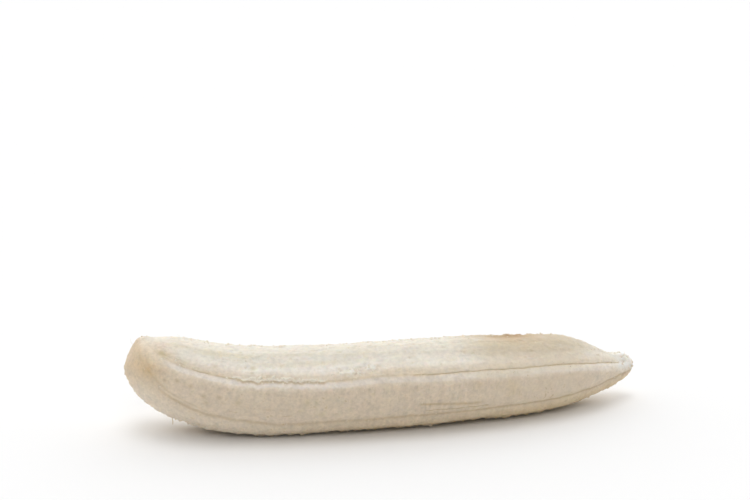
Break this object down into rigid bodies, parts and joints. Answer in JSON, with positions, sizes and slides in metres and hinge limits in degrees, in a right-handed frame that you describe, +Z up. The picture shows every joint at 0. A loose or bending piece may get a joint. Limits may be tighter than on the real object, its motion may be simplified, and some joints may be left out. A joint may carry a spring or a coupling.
{
  "type": "peeled banana",
  "caption": "Whole peeled banana lying on its side: soft faceted flesh with lengthwise creases, a blunt raised stem end and a small stub at the other end.",
  "frame": {"origin": "middle of the bottom face of the bounding box, level with the surface it lies on", "axes": "+X along the fruit from the stem end to the blossom end, +Y toward the hollow side of its bend, +Z up"},
  "size_m": [0.184, 0.0388, 0.033],
  "materials": {
    "flesh": "moist matt fruit flesh, cream white"
  },
  "bodies": {
    "root": {"banana_flesh": "flesh"}
  },
  "joints": []
}
